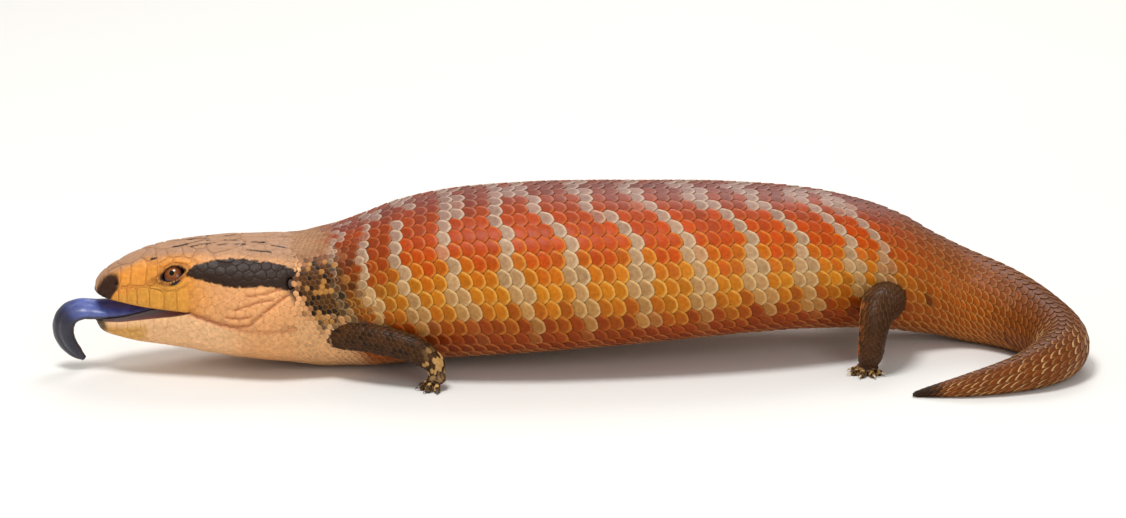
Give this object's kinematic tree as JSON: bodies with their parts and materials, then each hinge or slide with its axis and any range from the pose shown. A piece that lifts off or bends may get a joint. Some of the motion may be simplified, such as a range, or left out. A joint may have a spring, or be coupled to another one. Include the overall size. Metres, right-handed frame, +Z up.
{
  "type": "blue tongued skink",
  "caption": "Life-size still model of a walking blue tongued skink, tongue out and tail curled forward, resting on chest, feet and tail.",
  "frame": {"origin": "on the floor, below the middle of the model's box", "axes": "+X towards the tail (the head faces -X), +Y towards the animal's right side, +Z up"},
  "size_m": [0.3432, 0.1226, 0.0572],
  "materials": {
    "skin": "satin scaled skin",
    "limb_skin": "dark satin scaled skin with pale claws",
    "tongue": "moist, cobalt blue above and dark below",
    "eye": "wet and glossy, brown iris",
    "eardrum": "thin dull skin"
  },
  "bodies": {
    "root": {"head": "skin", "lower_jaw": "skin", "neck": "skin", "chest": "skin", "belly": "skin", "hips": "skin", "tail_root": "skin", "tail_bend": "skin", "tail_tip": "skin", "foreleg_left": "limb_skin", "foreleg_right": "limb_skin", "hindleg_left": "limb_skin", "hindleg_right": "limb_skin", "forefoot_left": "limb_skin", "forefoot_right": "limb_skin", "hindfoot_left": "limb_skin", "hindfoot_right": "limb_skin", "tongue": "tongue", "eye_left": "eye", "eye_right": "eye", "eardrum_left": "eardrum", "eardrum_right": "eardrum"}
  },
  "joints": []
}
